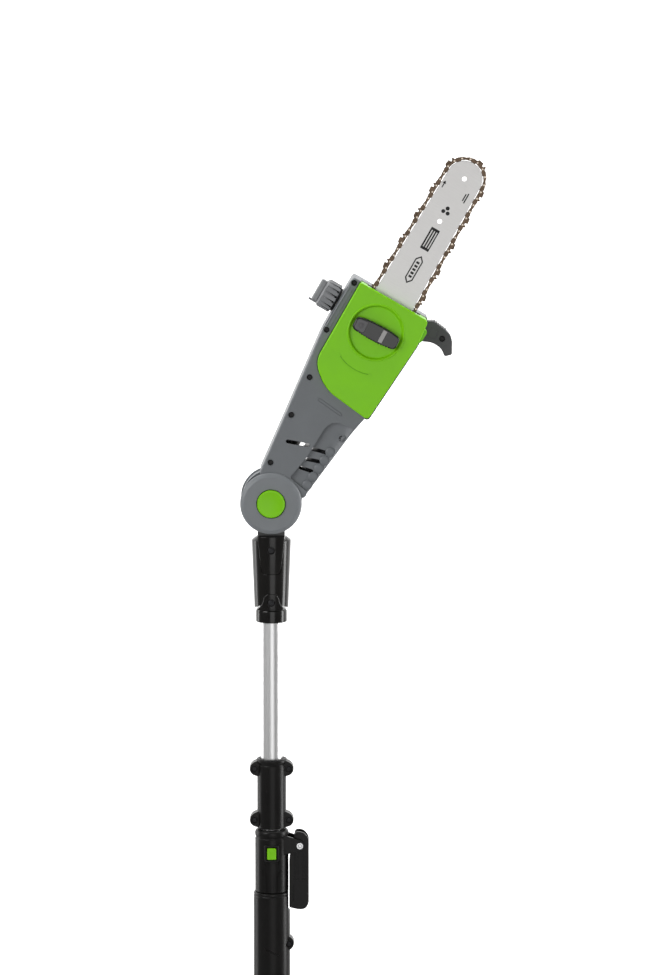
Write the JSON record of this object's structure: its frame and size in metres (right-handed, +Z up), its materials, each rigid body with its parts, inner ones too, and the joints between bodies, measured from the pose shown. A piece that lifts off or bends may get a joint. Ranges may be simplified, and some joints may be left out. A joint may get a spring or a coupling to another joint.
{
  "type": "telescoping pole saw",
  "caption": "Battery pole saw: short chain-saw head with a tilting knuckle on a telescoping pole, with a lock lever, trigger handle and slide-in battery.",
  "frame": {"origin": "centre of the flat butt end of the rear handle, on the pole's axis", "axes": "+Z runs up the pole to the head; the head leans toward +X; the cover and knob face -Y"},
  "size_m": [0.3244, 0.088, 1.9314],
  "materials": {
    "grey": "moulded mid grey plastic with a fine grain",
    "dark_grey": "moulded dark grey plastic",
    "dark_steel": "blackened screw steel",
    "black": "moulded black plastic, satin",
    "green": "bright yellow-green plastic, semi-gloss",
    "steel": "brushed steel",
    "bar": "satin ground steel bar",
    "chain": "dark bronzed chain steel",
    "aluminium": "satin anodised aluminium tube",
    "rubber": "black rubber",
    "tank": "translucent natural polythene",
    "cast": "die-cast pump body"
  },
  "bodies": {
    "handle": {"handle_front": "black", "handle_rear": "black", "outer_tube": "black", "coupler": "black", "lever_pin": "steel", "guide_sleeve_front": "black", "guide_sleeve_rear": "black", "guide_screw_upper_left": "dark_steel", "guide_screw_upper_right": "dark_steel", "guide_screw_lower_left": "dark_steel", "guide_screw_lower_right": "dark_steel", "fore_grip_front": "black", "fore_grip_rear": "black", "trigger_pin": "steel", "trigger_switch": "black", "terminal_block": "black", "coiled_lead": "rubber", "cam_shoe": "rubber"},
    "upper_pole": {"inner_tube": "aluminium", "tube_bush": "rubber", "tube_collar": "black", "neck_sleeve": "black", "sleeve_screw": "dark_steel", "neck_front": "black", "neck_rear": "black", "neck_screw": "dark_steel"},
    "head": {"housing_front": "grey", "housing_rear": "grey", "branch_hook": "dark_grey", "hook_screw": "dark_steel", "side_cover": "green", "bar_stud": "steel", "motor_can": "steel", "motor_end_bell": "black", "spindle_bearing": "steel", "tension_screw": "dark_steel", "oil_tank": "tank", "oil_pump": "cast", "cap_seal": "rubber", "knuckle_cap_front": "grey", "knuckle_cap_rear": "grey", "tilt_spring": "steel", "pivot_bolt": "steel"},
    "bar_carriage": {"guide_bar": "bar", "saw_chain": "chain"},
    "nose_wheel": {"nose_sprocket": "chain"},
    "rotor": {"motor_rotor": "steel"},
    "spindle": {"drive_gear": "steel", "drive_spindle": "steel", "drive_sprocket": "chain"},
    "knob": {"cover_knob": "black"},
    "filler_cap": {"oil_cap": "grey"},
    "tilt_button": {"tilt_button": "green", "lock_key": "steel"},
    "release": {"release_button": "green"},
    "lever": {"lock_lever": "black"},
    "trigger": {"trigger": "black"},
    "lock_off": {"lock_off_button": "green"},
    "battery": {"battery_pack": "black"},
    "latch": {"battery_latch": "green"}
  },
  "joints": [
    {"name": "telescope", "type": "slide", "parent": "handle", "child": "upper_pole", "axis": [0, 0, 1], "range_m": [-0.16, 0.55], "deforming": ["coiled_lead"]},
    {"name": "head_tilt", "type": "hinge", "parent": "upper_pole", "child": "head", "pos_m": [0, 0, 1.48], "axis": [0, 1, 0], "range_deg": [-30, 30]},
    {"name": "bar_tension", "type": "slide", "parent": "head", "child": "bar_carriage", "axis": [0.5, 0, 0.866], "range_m": [-0.0012, 0.0015]},
    {"name": "nose_sprocket_turn", "type": "hinge", "parent": "bar_carriage", "child": "nose_wheel", "pos_m": [0.24874, -0.02, 1.89942], "axis": [0, 1, 0], "continuous": true},
    {"name": "spindle_turn", "type": "hinge", "parent": "head", "child": "spindle", "pos_m": [0.11144, 0, 1.66161], "axis": [0, 1, 0], "continuous": true},
    {"name": "rotor_turn", "type": "hinge", "parent": "head", "child": "rotor", "pos_m": [0.05494, 0.002, 1.56375], "axis": [0.5, 0, 0.866], "continuous": true},
    {"name": "knob_turn", "type": "hinge", "parent": "head", "child": "knob", "pos_m": [0.13544, -0.04, 1.70318], "axis": [0, 1, 0], "range_deg": [-170, 170]},
    {"name": "filler_cap_turn", "type": "hinge", "parent": "head", "child": "filler_cap", "pos_m": [0.08229, 0.008, 1.74253], "axis": [0.866, 0, -0.5], "range_deg": [-160, 160]},
    {"name": "tilt_button_press", "type": "slide", "parent": "head", "child": "tilt_button", "axis": [0, 1, 0], "range_m": [0, 0.004], "stiffness_N_per_m": 1500},
    {"name": "release_button_press", "type": "slide", "parent": "handle", "child": "release", "axis": [0, 1, 0], "range_m": [0, 0.0024], "stiffness_N_per_m": 900},
    {"name": "lock_lever_swing", "type": "hinge", "parent": "handle", "child": "lever", "pos_m": [0.037, 0, 1.024], "axis": [0, 1, 0], "range_deg": [-95, 0]},
    {"name": "trigger_pull", "type": "hinge", "parent": "handle", "child": "trigger", "pos_m": [0.015, 0, 0.238], "axis": [0, 1, 0], "range_deg": [0, 11], "stiffness_Nm_per_rad": 1.2},
    {"name": "lock_off_press", "type": "slide", "parent": "handle", "child": "lock_off", "axis": [1, 0, 0], "range_m": [0, 0.003], "stiffness_N_per_m": 700},
    {"name": "battery_slide", "type": "slide", "parent": "handle", "child": "battery", "axis": [0, 0, 1], "range_m": [-0.09, 0]},
    {"name": "battery_latch_press", "type": "slide", "parent": "handle", "child": "latch", "axis": [1, 0, 0], "range_m": [0, 0.0025], "stiffness_N_per_m": 700}
  ],
  "couplings": [
    {"joint": "spindle_turn", "follows": "rotor_turn", "ratio": 0.25},
    {"joint": "nose_sprocket_turn", "follows": "rotor_turn", "ratio": 0.16667}
  ]
}
